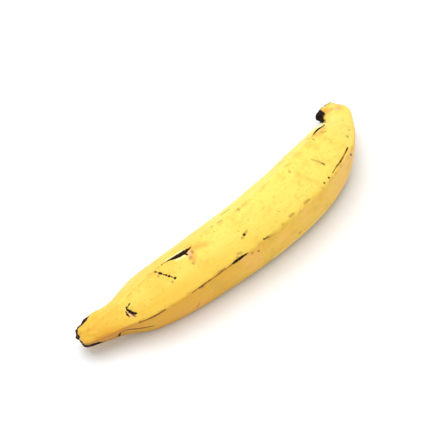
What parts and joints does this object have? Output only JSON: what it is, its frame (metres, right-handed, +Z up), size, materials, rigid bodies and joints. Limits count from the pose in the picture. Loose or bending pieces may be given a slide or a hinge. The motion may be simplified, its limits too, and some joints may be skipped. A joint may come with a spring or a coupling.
{
  "type": "banana",
  "caption": "Ripe plantain banana, whole and single, curved and five-angled, with a short bent stalk and a blunt dark tip, lying on its side.",
  "frame": {"origin": "on the surface that the fruit lies on, under the centre of its bounding box", "axes": "+X runs from the blossom tip to the stalk, +Y is towards the inside of the bend, +Z is up"},
  "size_m": [0.2934, 0.0662, 0.048],
  "materials": {
    "peel": "waxy ripe peel, yellow with brown marks and dark dry ends"
  },
  "bodies": {
    "root": {"banana": "peel"}
  },
  "joints": []
}
